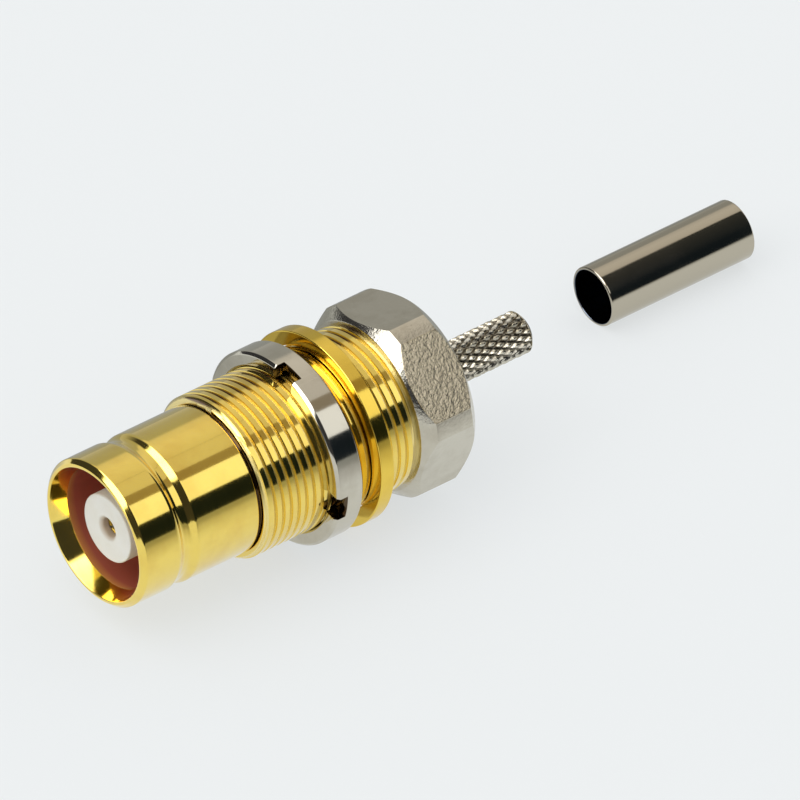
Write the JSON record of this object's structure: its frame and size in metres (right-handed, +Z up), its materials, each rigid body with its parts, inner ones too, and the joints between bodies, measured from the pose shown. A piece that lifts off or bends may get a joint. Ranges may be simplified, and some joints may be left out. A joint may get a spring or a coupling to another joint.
{
  "type": "threaded bulkhead coaxial jack with crimp ferrule",
  "caption": "Small 1.6/5.6 coaxial jack for panel mounting: open snap-groove end, fine thread with ring nut and washer, hexagon, crimp spigot and loose ferrule.",
  "frame": {"origin": "centre of the open mating end, on the jack's axis", "axes": "+X along the axis towards the cable end, +Z up as the jack lies on its side; the loose ferrule lies behind it on the +Y side"},
  "size_m": [0.045, 0.0109, 0.0108],
  "materials": {
    "gold_plate": "bright gold plate",
    "nickel_plate": "satin nickel plate",
    "washer_gold": "dull gold plate",
    "ferrule_nickel": "smooth nickel plate",
    "white_insulator": "white fluoropolymer"
  },
  "bodies": {
    "jack": {"outer_shell": "gold_plate", "rear_body": "nickel_plate", "front_insulator": "white_insulator", "rear_insulator": "white_insulator", "centre_contact": "gold_plate", "crimp_ferrule": "ferrule_nickel"},
    "washer": {"washer": "washer_gold"},
    "ring_nut": {"ring_nut": "nickel_plate"}
  },
  "joints": [
    {"name": "ring_nut_turn", "type": "hinge", "parent": "jack", "child": "washer", "pos_m": [0, 0, 0], "axis": [1, 0, 0], "range_deg": [-2808, 720]},
    {"name": "ring_nut_advance", "type": "slide", "parent": "washer", "child": "ring_nut", "axis": [1, 0, 0], "range_m": [-0.0039, 0.001]}
  ],
  "couplings": [
    {"joint": "ring_nut_turn", "follows": "ring_nut_advance", "rad_per_m": 12566}
  ]
}
